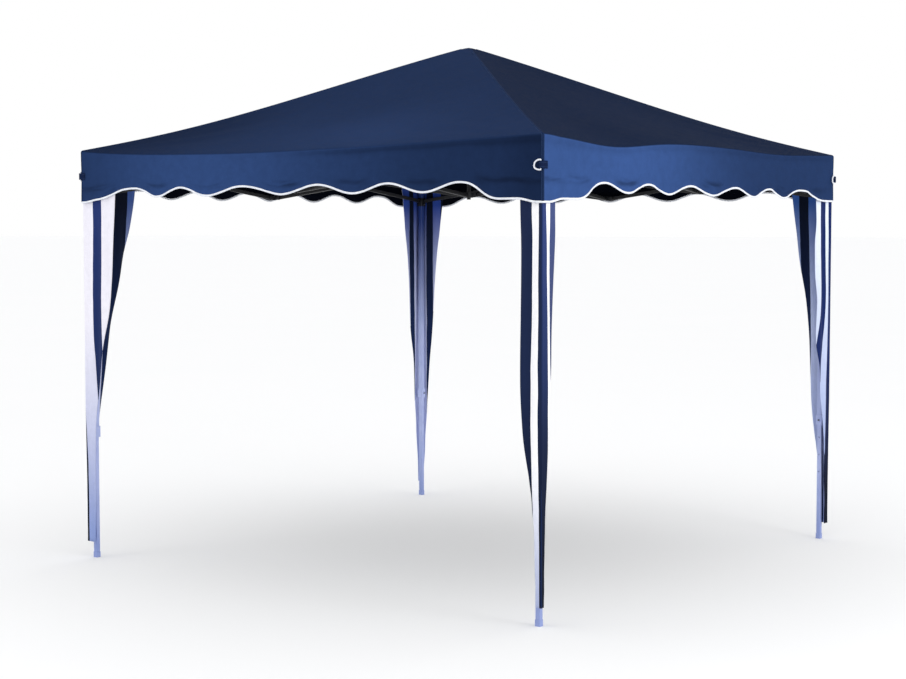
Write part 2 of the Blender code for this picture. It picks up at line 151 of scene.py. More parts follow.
def bell(value, centre, width):
    return math.exp(-(((value - centre) / width) ** 2))


def ripple(x, y, seed):
    """Smooth noise from about -1 to 1, the same each run."""
    return noise.noise(Vector((x, y, 7.3 * seed + 0.41)))


def turned(point, quarter_turns):
    """A point of the front side, or front right corner, turned to another side."""
    x, y, z = point
    for _ in range(quarter_turns % 4):
        x, y = -y, x
    return Vector((x, y, z))


# ---- Materials ----


def make(tree, kind, inputs=None, **settings):
    """Add a node, set its properties, and link or set its inputs."""
    item = tree.nodes.new(kind)
    for key, value in settings.items():
        setattr(item, key, value)
    for key, value in (inputs or {}).items():
        if isinstance(value, bpy.types.NodeSocket):
            tree.links.new(value, item.inputs[key])
        else:
            item.inputs[key].default_value = value
    return item


def calc(tree, operation, *values):
    return make(tree, "ShaderNodeMath", dict(enumerate(values)), operation=operation).outputs[0]


def scaled_sum(tree, *parts):
    """The sum of values, each times its own factor."""
    total = None
    for value, factor in parts:
        part = calc(tree, "MULTIPLY", value, factor)
        total = part if total is None else calc(tree, "ADD", total, part)
    return total


def blend_colour(tree, share, a, b, kind="MIX"):
    item = make(tree, "ShaderNodeMix", data_type="RGBA", blend_type=kind)
    for index, value in ((0, share), (6, a), (7, b)):
        if isinstance(value, bpy.types.NodeSocket):
            tree.links.new(value, item.inputs[index])
        else:
            item.inputs[index].default_value = value
    return item.outputs[2]


def linear(hex_colour):
    """A screen colour as linear light, with full alpha."""
    values = [int(hex_colour[i : i + 2], 16) / 255 for i in (0, 2, 4)]
    return tuple(v / 12.92 if v <= 0.04045 else ((v + 0.055) / 1.055) ** 2.4 for v in values) + (1.0,)


def new_material(name, **shader):
    """A material with one Principled shader, whose sockets take the given constants."""
    material = bpy.data.materials.new(name)
    material.use_nodes = True
    tree = material.node_tree
    tree.nodes.clear()
    out = tree.nodes.new("ShaderNodeOutputMaterial")
    principled = make(tree, "ShaderNodeBsdfPrincipled", shader)
    tree.links.new(principled.outputs[0], out.inputs[0])
    return material, tree, principled


def connect(tree, shader, base, roughness, height, strength=1.0, normal=None):
    """Link a colour, a roughness and a relief height to the shader."""
    inputs = {"Height": height, "Strength": strength, "Distance": 1.0}
    if normal is not None:
        inputs["Normal"] = normal
    bump = make(tree, "ShaderNodeBump", inputs)
    tree.links.new(base, shader.inputs["Base Color"])
    tree.links.new(roughness, shader.inputs["Roughness"])
    tree.links.new(bump.outputs[0], shader.inputs["Normal"])


def cloth_place(tree):
    """The cloth's own flat coordinates in metres."""
    return make(tree, "ShaderNodeUVMap", uv_map="Cloth").outputs[0]


def split(tree, vector):
    return make(tree, "ShaderNodeSeparateXYZ", {0: vector}).outputs


def shaded_by(tree, base, light):
    """The colour times a grey value."""
    grey = make(tree, "ShaderNodeCombineColor", {0: light, 1: light, 2: light}).outputs[0]
    return blend_colour(tree, 1.0, base, grey, "MULTIPLY")


def noise_value(tree, vector, scale, detail=2.0, roughness=0.5):
    inputs = {"Vector": vector, "Scale": scale, "Detail": detail, "Roughness": roughness}
    return make(tree, "ShaderNodeTexNoise", inputs).outputs["Fac"]


def remap(tree, value, low, high, to_low, to_high):
    inputs = {0: value, 1: low, 2: high, 3: to_low, 4: to_high}
    return make(tree, "ShaderNodeMapRange", inputs).outputs[0]


def weave_height(tree, uv, pitch):
    """A plain weave from the cloth's flat coordinates, from -1 to 1."""
    threads = []
    for along in split(tree, uv)[:2]:
        turn = calc(tree, "MULTIPLY", along, math.pi / pitch)
        threads.append(calc(tree, "SINE", turn))
    return calc(tree, "MULTIPLY", *threads)


def stitches(tree, uv, offset, length):
    """1 on a row of stitches that runs along U at a distance offset from the seam's middle."""
    along, across = split(tree, uv)[:2]
    beside = calc(tree, "ABSOLUTE", calc(tree, "SUBTRACT", calc(tree, "ABSOLUTE", across), offset))
    near = calc(tree, "LESS_THAN", beside, 0.0006)
    turn = calc(tree, "FRACT", calc(tree, "DIVIDE", along, length))
    return calc(tree, "MULTIPLY", near, calc(tree, "LESS_THAN", turn, 0.68))


def point_value(tree, name):
    """A value kept at the mesh's points."""
    return make(tree, "ShaderNodeAttribute", attribute_name=name).outputs["Fac"]


def hem_creases(tree, uv):
    """1 in the level furrows that the hem's stitching pulls into the cloth above the hem's troughs."""
    place = make(tree, "ShaderNodeMapping", {"Vector": uv, "Scale": (5.0, 46.0, 1.0)}).outputs[0]
    streaks = remap(tree, noise_value(tree, place, 1.0, 2.0, 0.45), 0.36, 0.60, 0.0, 1.0)
    return calc(tree, "MULTIPLY", streaks, point_value(tree, "crease"))


def cloth_material(name, colour, shade, sheen=0.012, seam=None, creased=False):
    """Coated polyester cloth: woven threads, faded patches, fine crinkles, a soft sheen and painted light
    and shade.

    A seam is the distance of its two rows of stitches from its middle.
    """
    material, tree, shader = new_material(
        name,
        **{
            "Specular IOR Level": 0.012,
            "Sheen Weight": sheen,
            "Sheen Roughness": 0.45,
            "Sheen Tint": linear("4a66a8"),
        },
    )
    uv = cloth_place(tree)
    weave = weave_height(tree, uv, WEAVE_PITCH)
    patches = noise_value(tree, uv, 1.7, 3.0)
    mottle = noise_value(tree, uv, 21.0, 4.0, 0.6)
    crinkle = noise_value(tree, uv, 46.0, 5.0, 0.62)
    soft = noise_value(tree, uv, 9.0, 3.0, 0.5)
    base = blend_colour(tree, remap(tree, patches, 0.25, 0.75, 0.0, 1.0), colour, shade)
    specks = remap(tree, mottle, 0.2, 0.8, 0.90, 1.10)
    threads = remap(tree, weave, -1.0, 1.0, 0.90, 1.10)
    # Painted light and shade: the colour is also multiplied by the values kept at the mesh's points
    light = calc(tree, "MULTIPLY", calc(tree, "MULTIPLY", specks, threads), point_value(tree, "tone_and_painted_light"))
    base = shaded_by(tree, base, light)
    height = scaled_sum(tree, (weave, 0.00006), (crinkle, 0.0007), (soft, 0.0030))
    if creased:
        pulled = hem_creases(tree, uv)
        # Painted shade darkens the hem's creases, which are also sunk in relief
        base = blend_colour(tree, calc(tree, "MULTIPLY", pulled, 0.55), base, linear("0c1426"))
        height = calc(tree, "SUBTRACT", height, calc(tree, "MULTIPLY", pulled, 0.0016))
    if seam is not None:
        sewn = stitches(tree, uv, seam, STITCH_LENGTH)
        base = blend_colour(tree, sewn, base, linear("3c5078"))
        height = calc(tree, "ADD", height, calc(tree, "MULTIPLY", sewn, 0.0005))
    connect(tree, shader, base, remap(tree, mottle, 0.2, 0.8, 0.72, 0.88), height)
    return material


def piping_material():
    """White bias tape round the hem, with fine ribs across it and a row of stitches."""
    material, tree, shader = new_material(
        "hem_tape", **{"Specular IOR Level": 0.30, "Sheen Weight": 0.20, "Sheen Roughness": 0.5}
    )
    uv = cloth_place(tree)
    ribs = calc(tree, "SINE", calc(tree, "MULTIPLY", split(tree, uv)[0], 2 * math.pi / TAPE_RIB_PITCH))
    mottle = noise_value(tree, uv, 34.0, 4.0, 0.6)
    base = blend_colour(tree, remap(tree, mottle, 0.35, 0.85, 0.0, 1.0), linear("f4f6fb"), linear("c9cfdc"))
    sewn = stitches(tree, uv, 0.0, TAPE_STITCH_LENGTH)
    base = blend_colour(tree, calc(tree, "MULTIPLY", sewn, 0.5), base, linear("9aa3b8"))
    height = scaled_sum(tree, (ribs, 0.00006), (sewn, -0.0004), (mottle, 0.0010))
    connect(tree, shader, base, remap(tree, mottle, 0.2, 0.8, 0.6, 0.8), height)
    return material


def stripe_ramp(tree, along, plan):
    """0 on the navy stripes and 1 on the white ones, at a place along the cloth."""
    ramp = make(
        tree, "ShaderNodeValToRGB", {0: remap(tree, along, -STRIPE_SPAN, STRIPE_SPAN, 0.0, 1.0)}
    )
    ramp.color_ramp.interpolation = "CONSTANT"
    stops = ramp.color_ramp.elements
    shades = ((1, 1, 1, 1), (0, 0, 0, 1))
    navy = plan["first_navy"]
    stops[0].position = 0.0
    stops[0].color = shades[navy]
    stops.remove(stops[1])
    for edge in plan["edges"]:
        navy = not navy
        stop = stops.new((edge + STRIPE_SPAN) / (2 * STRIPE_SPAN))
        stop.color = shades[navy]
    if "pale_end" in plan:
        stop.color = (plan["pale_end"],) * 3 + (1,)
    return ramp.outputs[0]


def curtain_material(name, plan, inner):
    """Striped cloth whose stripes change at the plan's edges, along the cloth from the corner edge.

    The navy is painted lighter or darker on each wing near the top, for the light on it, and darker low
    down, as painted shade. The white stripes turn to lavender with painted shade around the plan's cool
    heights, and the inside of the cloth is bluer and darker at the top, with painted shade under the roof.
    """
    material, tree, shader = new_material(
        name, **{"Specular IOR Level": 0.06, "Sheen Weight": 0.03, "Sheen Roughness": 0.5}
    )
    uv = cloth_place(tree)
    across, height_z = split(tree, uv)[:2]
    wander = remap(tree, noise_value(tree, uv, 4.0, 2.0), 0.2, 0.8, -0.0030, 0.0030)
    along = calc(tree, "ADD", across, wander)
    # Painted shade: the white stripes turn lavender low down, between the plan's cool heights
    lavender = remap(tree, height_z, *plan["cool"], 1.0, 0.0)
    white = blend_colour(tree, lavender, linear(plan["white"]), linear("8c9dd0"))
    # Painted light and shade: toward the top the second wing's navy is painted in its own shade for the
    # light on it
    second_wing = remap(tree, along, -0.006, 0.006, 0.0, 1.0)
    second_wing = calc(tree, "MULTIPLY", second_wing, remap(tree, height_z, 0.8, 1.9, 0.0, 1.0))
    dark = blend_colour(tree, second_wing, *[linear(shade) for shade in plan["navy"]])
    # Painted shade: the navy darkens toward the bottom
    dark = blend_colour(tree, remap(tree, height_z, 0.3, 1.1, 1.0, 0.0), dark, linear("0c1226"))
    if inner:
        # Painted shade inside: the white stripes are lavender, and toward the top they take the plan's
        # shadow blue and the navy darkens
        white = blend_colour(tree, 0.5, white, linear("bcc8f6"))
        shaded = remap(tree, height_z, 1.20, 1.95, 0.0, 1.0)
        white = blend_colour(tree, shaded, white, linear(plan["shadow"]))
        dark = blend_colour(tree, shaded, linear("17264c"), linear("0a1226"))
    base = blend_colour(tree, stripe_ramp(tree, along, plan), dark, white)
    weave = weave_height(tree, uv, CURTAIN_WEAVE_PITCH)
    mottle = noise_value(tree, uv, 30.0, 4.0, 0.6)
    crinkle = noise_value(tree, uv, 60.0, 5.0, 0.6)
    specks = remap(tree, mottle, 0.2, 0.8, 0.94, 1.04)
    threads = remap(tree, weave, -1.0, 1.0, 0.93, 1.05)
    base = shaded_by(tree, base, calc(tree, "MULTIPLY", specks, threads))
    height = scaled_sum(tree, (weave, 0.00006), (crinkle, 0.0008))
    connect(tree, shader, base, remap(tree, mottle, 0.2, 0.8, 0.66, 0.80), height)
    return material


def worn_edge(tree, radius):
    """The surface's normal, with its edges rounded by a small radius."""
    return make(tree, "ShaderNodeBevel", {"Radius": radius}, samples=4).outputs[0]


def leg_painted_shade_and_bracket(tree, height_z, base):
    """The leg's paint gets painted blue shade near the top, like the cloth round it, and paler painted blue
    shade near the foot.

    Its top bracket is black nylon.
    """
    base = blend_colour(tree, remap(tree, height_z, 1.15, 1.85, 0.0, 1.0), base, linear("2c4488"))
    base = blend_colour(tree, remap(tree, height_z, 0.05, 0.45, 0.55, 0.0), base, linear("5f76b4"))
    return blend_colour(tree, calc(tree, "GREATER_THAN", height_z, TOP_BRACKET_Z), base, linear("17181c"))


def paint_material(name, colour, shade, worn, leg=False):
    """Powder coated steel: fine orange peel, rounded edges, scuffs and rubbed patches."""
    material, tree, shader = new_material(name, **{"Specular IOR Level": 0.4})
    place = make(tree, "ShaderNodeTexCoord").outputs["Object"]
    peel = noise_value(tree, place, 900.0, 2.0)
    cloud = noise_value(tree, place, 7.0, 4.0, 0.6)
    scuff = noise_value(tree, place, 60.0, 6.0, 0.7)
    base = blend_colour(tree, remap(tree, cloud, 0.3, 0.7, 0.0, 1.0), colour, shade)
    base = blend_colour(tree, remap(tree, scuff, 0.60, 0.68, 0.0, 0.55), base, worn)
    # Legs get painted shade near the top and the foot, and their black bracket
    if leg:
        base = leg_painted_shade_and_bracket(tree, split(tree, place)[2], base)
    height = calc(tree, "MULTIPLY", peel, 0.00008)
    roughness = remap(tree, scuff, 0.3, 0.7, 0.34, 0.52)
    connect(tree, shader, base, roughness, height, 0.6, worn_edge(tree, 0.0012))
    return material


def plastic_material(name, colour, worn, roughness):
    """Moulded nylon with a fine grain and pale scuffs."""
    material, tree, shader = new_material(name, **{"Specular IOR Level": 0.45})
    place = make(tree, "ShaderNodeTexCoord").outputs["Object"]
    grain = noise_value(tree, place, 1400.0, 3.0)
    cloud = noise_value(tree, place, 22.0, 4.0, 0.6)
    scuff = noise_value(tree, place, 110.0, 6.0, 0.7)
    base = blend_colour(tree, remap(tree, scuff, 0.55, 0.70, 0.0, 0.6), colour, worn)
    base = blend_colour(tree, remap(tree, cloud, 0.3, 0.7, 0.0, 0.25), base, worn)
    height = calc(tree, "MULTIPLY", grain, 0.00012)
    rough = remap(tree, cloud, 0.3, 0.7, roughness - 0.06, roughness + 0.08)
    connect(tree, shader, base, rough, height, 0.8, worn_edge(tree, 0.0010))
    return material


# ---- Mesh helpers ----


def new_piece(name, points, faces, flat_places, materials, tones_and_painted_light=None, creases=None):
    """A smooth mesh with the cloth's flat coordinates, in metres, as its UV map.

    flat_places holds one (u, v) for each corner of each face, in order. tones says how light the
    cloth is painted at each point, as painted light and shade, and creases how deep it is creased there.
    """
    mesh = bpy.data.meshes.new(name)
    mesh.from_pydata([tuple(p) for p in points], [], faces)
    layer = mesh.uv_layers.new(name="Cloth")
    flat = [value for place in flat_places for value in place]
    layer.data.foreach_set("uv", flat)
    count = len(points)
    for title, values in (("tone_and_painted_light", tones_and_painted_light or [1.0] * count), ("crease", creases or [0.0] * count)):
        attribute = mesh.attributes.new(title, "FLOAT", "POINT")
        attribute.data.foreach_set("value", values)
    for material in materials:
        mesh.materials.append(material)
    mesh.shade_smooth()
    mesh.update()
    piece = bpy.data.objects.new(name, mesh)
    bpy.context.scene.collection.objects.link(piece)
    return piece


def thicken(piece, thickness, hem=None, thin=1.0):
    """Thicken a sheet inwards, with its second material inside. Away from its hem it can be thinner."""
    item = piece.modifiers.new("Thickness", "SOLIDIFY")
    item.thickness = thickness
    item.offset = -1.0
    item.material_offset = 1
    if hem is not None:
        item.vertex_group = hem
        item.thickness_vertex_group = thin


def follow(piece, body, weight_at):
    """Part of the piece also moves with another body, by a weight worked out at each point."""
    group = piece.vertex_groups.new(name="with_" + body)
    for vertex in piece.data.vertices:
        weight = weight_at(vertex.co)
        if weight > 0.0005:
            group.add([vertex.index], min(1.0, weight), "REPLACE")
    item = piece.modifiers.new("With_" + body, "HOOK")
    item.object = frame["bodies"][body]
    item.vertex_group = group.name
    item.falloff_type = "NONE"
    item.matrix_inverse = Matrix.Identity(4)


def gather_share(place):
    """How much of the legs' folding a place of the canopy takes up.

    The cloth stays wide over the pole's cap.
    """
    reach = max(abs(place.x), abs(place.y), 1e-4)
    over_cap = CAP_REACH * math.tanh(reach / CAP_REACH) * (1 - smooth(0.1, 0.9 * HALF, reach))
    folded = math.hypot(FOLDED_SHARE * reach, over_cap)
    return max(0.0, (1 - folded / reach) / (1 - FOLDED_SHARE))


def follow_legs(piece):
    """The canopy's corners stay over the four legs as the frame folds, and the cloth between gathers."""
    for turns, corner in enumerate(CORNERS):
        sign = turned((1, -1, 0), turns)

        def weight_at(place, sign=sign):
            share = gather_share(place) / HALF
            return (1 + sign.x * place.x * share) * (1 + sign.y * place.y * share) / 4

        follow(piece, corner + "_outer_leg", weight_at)


# ---- Canopy surface ----


def hip_sag(side, along, share):
    """How far the roof hangs under its straight lines, at a share of the way from the peak to the eave."""
    share = min(1.0, max(0.0, share / ROOF_END))
    depth = mix(HIP_SAGS[side - 1], HIP_SAGS[side], (along + 1) / 2)
    return depth * math.sin(math.pi * share**1.6)


def eave_sag(side, along):
    """How far the eave hangs at a place along a side, from -1 to 1. Only the front side's is one sag."""
    distance = (along + 1) * HALF
    lift = 0.0015 * ripple(along * 3.1, side * 5.0, 3) * (1 - along * along)
    if side == 0:
        return lift + 0.041 * math.sin(math.pi * (distance / (2 * HALF)) ** 0.72)
    if side == 1:
        ends = smooth(0.0, 0.15, distance) * smooth(0.0, 0.15, 2 * HALF - distance)
        return lift + (0.037 * bell(distance, 0.60, 0.38) + 0.018 * bell(distance, 2.30, 0.48)) * ends
    return lift + 0.026 * math.sin(math.pi * distance / HALF) ** 2 + 0.006 * (1 - along * along)


def roof_height(side, along, share):
    """Height of the roof at a share of the way from the peak and a place across it, from -1 to 1."""
    blunt = math.hypot(share, PEAK_BLUNT)
    base = PEAK_Z - (PEAK_Z - EAVE_Z) * blunt
    belly = 1 - along * along
    sag = hip_sag(side, along, share)
    sag += eave_sag(side, along) * share**3
    sag += belly * 0.010 * math.sin(math.pi * min(1.0, share / ROOF_END))
    x, y = along * share * HALF, share * HALF
    loose = belly * smooth(0.05, 0.3, share) * (1 - smooth(0.9, 1.0, share))
    waves = 0.0050 * ripple(x * 1.6, y * 1.3, side + 11) + 0.0022 * ripple(x * 4.6, y * 3.1, side + 23)
    waves += 0.0040 * folds_from_corner(side, along, share)
    return base - sag + waves * loose


def folds_from_corner(side, along, share):
    """Low folds that run from the two eave corners into the roof."""
    total = 0.0
    for end in (-1, 1):
        across = (1 - end * along) * share * HALF
        down = (1 - share) * HALF + 0.02
        angle = math.atan2(down, across + 0.02)
        reach = math.hypot(across, down)
        total += math.sin(angle * 13 + side * 2 + end) * bell(reach, 0.38, 0.30) * smooth(0.03, 0.25, down)
    return total


def hem_height(side, distance):
    """Height of the scalloped hem. The two sides in front were cut a little unevenly."""
    if side == 0:
        distance += 0.150 * bell(distance, 0.92, 0.50)
    elif side == 1:
        distance -= 0.110 * bell(distance, 1.90, 0.45) + 0.060 * bell(distance, 0.60, 0.50)
    near = min(distance, 2 * HALF - distance)
    flat, drop, tip = CORNER_HEMS[side if distance > HALF else side - 1]
    rise = smooth(flat, CORNER_LOBE, near)
    phase = math.pi * rise
    if near > CORNER_LOBE:
        phase = math.pi * (1 + (near - CORNER_LOBE) / HALF_WAVE)
    return HEM_Z - HEM_WAVE * math.cos(phase) - drop * (1 - rise) - tip * (1 - smooth(0.030, 0.140, near))


def valance_push(side, distance, share):
    """How far the valance stands out from its plane, from its fold (share 0) to its hem (share 1)."""
    near = min(distance, 2 * HALF - distance)
    free = smooth(0.02, 0.22, near)
    seed = side * 9.0
    broad = 0.0075 * ripple(distance * 1.5, share * 0.7, seed + 1) * share
    folds = 0.0050 * ripple(distance * 5.5, share * 0.9, seed + 2) * share**1.3
    lobe_turn = (hem_height(side, distance) - HEM_Z) / HEM_WAVE * math.pi / 2
    lobes = -0.0035 * math.cos(lobe_turn) * share**2
    pucker = 0.0028 * ripple(distance * 24.0, share * 3.5, seed + 3) * smooth(0.62, 0.97, share)
    pucker += 0.0012 * ripple(distance * 52.0, share * 5.0, seed + 4) * smooth(0.78, 1.0, share)
    crease = -0.0020 * bell(share, 0.80 + 0.07 * ripple(distance * 2.2, 0.3, seed + 5), 0.035)
    crease *= smooth(-0.1, 0.4, ripple(distance * 3.3, 1.7, seed + 6))
    tuck = -0.0045 * bell(share, 0.07, 0.06) * (0.55 + 0.7 * ripple(distance * 1.8, 4.1, seed + 7))
    pulled = 0.0015 * (1 - free) * bell(share, 0.5, 0.3)
    return (broad + folds + lobes + pucker + crease + tuck) * free - pulled


def side_places():
    """Places along one side at the eave, close together by the corners, as shares from -1 to 1."""
    middle = (2 * HALF - 2 * sum(CORNER_STEPS)) / (SIDE_STEPS - 2 * len(CORNER_STEPS))
    middle_steps = [middle] * (SIDE_STEPS - 2 * len(CORNER_STEPS))
    places = [-1.0]
    for step in [*CORNER_STEPS, *middle_steps, *reversed(CORNER_STEPS)]:
        places.append(places[-1] + step / HALF)
    places[-1] = 1.0
    return places


PLACES = side_places()


def place_at(index, count):
    """The place of a point on a ring with a number of steps to the side. A fine ring halves the steps."""
    if count > SIDE_STEPS:
        low = PLACES[index // 2]
        return low if index % 2 == 0 else (low + PLACES[index // 2 + 1]) / 2
    return PLACES[index * (SIDE_STEPS // count)]


def round_corner(along, out):
    """Plan position of a point on a square ring whose corners have a small radius."""
    radius = min(CORNER_RADIUS, out / 3)
    x = along * out
    spare = out - abs(x)
    if spare >= radius:
        return x, -out
    angle = (1 - spare / radius) * math.pi / 4
    inner = out - radius
    return math.copysign(inner + radius * math.sin(angle), x), -(inner + radius * math.cos(angle))


def ring_point(side, along, ring):
    """A point of the canopy. A ring is ("roof", share), ("fold", share) or ("fall", share)."""
    kind, share = ring
    distance = (along + 1) * HALF
    if kind == "roof":
        x, y = round_corner(along, share * HALF)
        return x, y, roof_height(side, along, share)
    top = FOLD_TOP_Z - eave_sag(side, along)
    if kind == "fold":
        turn = SLOPE + FOLD_TURN * share
        out = HALF - FOLD_RADIUS * (1 - math.sin(turn))
        x, y = round_corner(along, out)
        return x, y, top + FOLD_RADIUS * math.cos(turn)
    x, y = round_corner(along, HALF + valance_push(side, distance, share))
    return x, y, mix(top, hem_height(side, distance), share)


def canopy_rings():
    """Rings from the peak to the hem as (steps to the side, ring)."""
    rings = []
    for low, high, rows, count in ROOF_BANDS:
        for row in range(rows):
            rings.append((count, ("roof", mix(low, high, row / rows))))
    rings.append((SIDE_STEPS, ("roof", ROOF_END)))
    for row in range(1, FOLD_ROWS):
        rings.append((SIDE_STEPS, ("fold", row / FOLD_ROWS)))
    for row in range(FALL_ROWS + 1):
        rings.append((SIDE_STEPS, ("fall", FINE_FALL * row / FALL_ROWS)))
    for row in range(1, FINE_FALL_ROWS + 1):
        share = mix(FINE_FALL, 1.0, (row / FINE_FALL_ROWS) ** 0.85)
        rings.append((2 * SIDE_STEPS, ("fall", share)))
    return rings


def canopy_faces(rings, starts, points, downs):
    """The canopy's faces, and the cloth's flat coordinates at their corners.

    A ring's points start at its number in starts. downs holds each ring's distance from the peak.
    """
    faces = []
    flat = []

    def add(side, *corners):
        """Add a face from (ring number, step from the side's start) pairs."""
        face = []
        for number, step in corners:
            count = rings[number][0]
            face.append(starts[number] + (side * count + step) % (4 * count))
            local = turned(points[face[-1]], -side)
            flat.append((local.x + side * 4.0, downs[number]))
        faces.append(face)

    for side in range(4):
        for step in range(rings[0][0]):
            flat.append((0.0, 0.0))
            add(side, (0, step), (0, step + 1))
            faces[-1].insert(0, 0)
        for number in range(1, len(rings)):
            above = number - 1
            upper, lower = rings[above][0], rings[number][0]
            for step in range(upper):
                if upper == lower:
                    add(side, (above, step), (number, step), (number, step + 1), (above, step + 1))
                    continue
                low = 2 * step
                add(side, (above, step), (number, low), (number, low + 1))
                add(side, (above, step), (number, low + 1), (above, step + 1))
                add(side, (above, step + 1), (number, low + 1), (number, low + 2))
    return faces, flat


def make_canopy(materials):
    rings = canopy_rings()
    points = [Vector((0, 0, roof_height(0, 0.0, 0.0)))]
    tones_and_painted_light = [0.4]
    creases = [0.0]
    starts = []
    downs = []
    down = 0.0
    last = points[0]
    for count, ring in rings:
        starts.append(len(points))
        middle = Vector(ring_point(0, 0.0, ring))
        down += (middle - last).length
        downs.append(down)
        last = middle
        for side in range(4):
            for index in range(count):
                along = place_at(index, count)
                point = ring_point(side, along, ring)
                points.append(turned(point, side))
                tones_and_painted_light.append(tone_and_painted_light_at(side, along, ring))
                creases.append(crease_at(side, along, point[2]))
    faces, flat = canopy_faces(rings, starts, points, downs)
    canopy = new_piece("canopy_cloth_sheet", points, faces, flat, materials, tones_and_painted_light, creases)
    follow_legs(canopy)
    thicken(canopy, CLOTH)
    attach(canopy, "top_assembly")
    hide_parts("canopy")


def crease_at(side, along, height):
    """How deep the cloth is creased, and so how much painted shade it gets: in a level band above each
    trough of the hem, as high as the crests.
    """
    distance = (along + 1) * HALF
    crest = HEM_Z + HEM_WAVE
    trough = smooth(0.25, 0.90, (crest - hem_height(side, distance)) / (2 * HEM_WAVE))
    patch = smooth(-0.40, 0.15, ripple(distance * 1.7, side * 2.0, 61))
    level = crest + 0.010 + 0.012 * ripple(distance * 2.5, 0.0, side + 62)
    return trough * patch * bell(height, level, 0.016)


def tone_and_painted_light_at(side, along, ring):
    """How light the cloth is painted, as painted light and shade. The roof panels are darker, and the
    valance is uneven.
    """
    kind, share = ring
    distance = (along + 1) * HALF
    # Painted light and shade along the front and right valances; the back and left ones vary at random
    if side == 0:
        fall = 0.30 + 0.48 * bell(distance, 0.85, 0.75 if distance < 0.85 else 1.05)
        fall *= 1 - 0.22 * smooth(2.72, 2.95, distance)
    elif side == 1:
        fall = 1.0 - 0.54 * smooth(0.8, 2.1, distance)
    else:
        fall = 0.60 + 0.25 * ripple(distance * 0.9, side * 3.0, 51)
    if kind == "fall":
        # Painted shadow just under the eave fold, strongest along the right part of the front valance
        tuck = bell(share, 0.05, 0.07) * (smooth(1.2, 2.0, distance) if side == 0 else 0.4)
        return fall * (1 - 0.30 * tuck)
    reach = share if kind == "roof" else 1.0
    # Painted shade on the roof panels, each panel its own, the front one lighter near its right eave and
    # darker on its left
    if side == 0:
        roof = 0.34 + 0.12 * bell(reach, 0.86, 0.22) * bell(distance, 1.9, 0.7)
        roof -= 0.14 * smooth(0.35, 1.0, -along) * smooth(0.3, 0.8, reach)
    else:
        roof = (0.0, 0.18, 0.30, 0.30)[side]
    if kind == "fold":
        return mix(roof, fall, smooth(0.1, 0.8, share))
    return roof


# ---- Seams and hem tape ----


def sweep(name, stations, section, materials, closed):
    """A solid strip: the section's (across, out) points carried along the stations.

    A station is (place, across direction, out direction, length along).
    """
    points, faces, flat = [], [], []
    size = len(section)
    for place, across, out, _ in stations:
        points += [place + across * a + out * o for a, o in section]
    total = len(stations)
    for number in range(total if closed else total - 1):
        follower = (number + 1) % total
        along = stations[number][3]
        next_along = stations[follower][3] if follower else along + (along - stations[number - 1][3])
        for index in range(size):
            other = (index + 1) % size
            here, there = number * size, follower * size
            faces.append([here + index, there + index, there + other, here + other])
            low, high = section[index][0], section[other][0]
            flat += [(along, low), (next_along, low), (next_along, high), (along, high)]
    if not closed:
        for number, order in ((0, 1), (total - 1, -1)):
            face = [number * size + index for index in range(size)][::order]
            faces.append(face)
            flat += [(stations[number][3], section[i % size][0]) for i in range(size)][::order]
    return new_piece(name, points, faces, flat, materials)


def hem_stations():
    """Stations all round the canopy's hem, one for each of its points."""
    ring = ("fall", 1.0)
    places = []
    for side in range(4):
        for index in range(2 * SIDE_STEPS):
            along = place_at(index, 2 * SIDE_STEPS)
            places.append(turned(ring_point(side, along, ring), side))
    stations = []
    travelled = 0.0
    for number, place in enumerate(places):
        before = places[number - 1]
        after = places[(number + 1) % len(places)]
        if number:
            travelled += (place - before).length
        run = (after - before).normalized()
        outward = Vector((run.y, -run.x, 0)).normalized()
        down = outward.cross(run).normalized()
        if down.z > 0:
            down = -down
        stations.append((place, down, outward, travelled))
    return stations


def make_hem_tape(material):
    """White tape folded round the edge of the hem."""
    half_height, depth, lap = 0.0052, 0.0024, 0.0044
    section = []
    for step in range(TAPE_SIDES):
        turn = 2 * math.pi * step / TAPE_SIDES
        section.append((half_height * math.cos(turn) - lap, depth * math.sin(turn) - CLOTH / 2))
    tape = sweep("hem_tape", hem_stations(), section, [material], True)
    follow_legs(tape)
    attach(tape, "top_assembly")


def seam_path(turns):
    """Places and outward directions down one hip and on down the corner of the valance."""
    path = []
    inwards = CORNER_RADIUS * 0.29  # how far the rounded corner lies inside the sharp one
    for row in range(SEAM_ROWS + 1):
        share = mix(0.02, ROOF_END, row / SEAM_ROWS)
        out = share * HALF - 0.0012
        path.append((Vector((out, -out, roof_height(turns, 1.0, share))), Vector((0.25, -0.25, 1))))
    for row in range(1, FOLD_ROWS):
        turn = SLOPE + FOLD_TURN * row / FOLD_ROWS
        out = HALF - FOLD_RADIUS * (1 - math.sin(turn)) - inwards
        place = Vector((out, -out, FOLD_TOP_Z + FOLD_RADIUS * math.cos(turn)))
        path.append((place, Vector((math.sin(turn), -math.sin(turn), math.cos(turn) * 1.4))))
    end_z = hem_height((turns + 1) % 4, 0.0) + 0.006
    for row in range(SEAM_FALL_ROWS + 1):
        share = row / SEAM_FALL_ROWS
        out = HALF + valance_push(0, 2 * HALF, share) - inwards
        path.append((Vector((out, -out, mix(FOLD_TOP_Z, end_z, share))), Vector((1, -1, 0))))
    return path


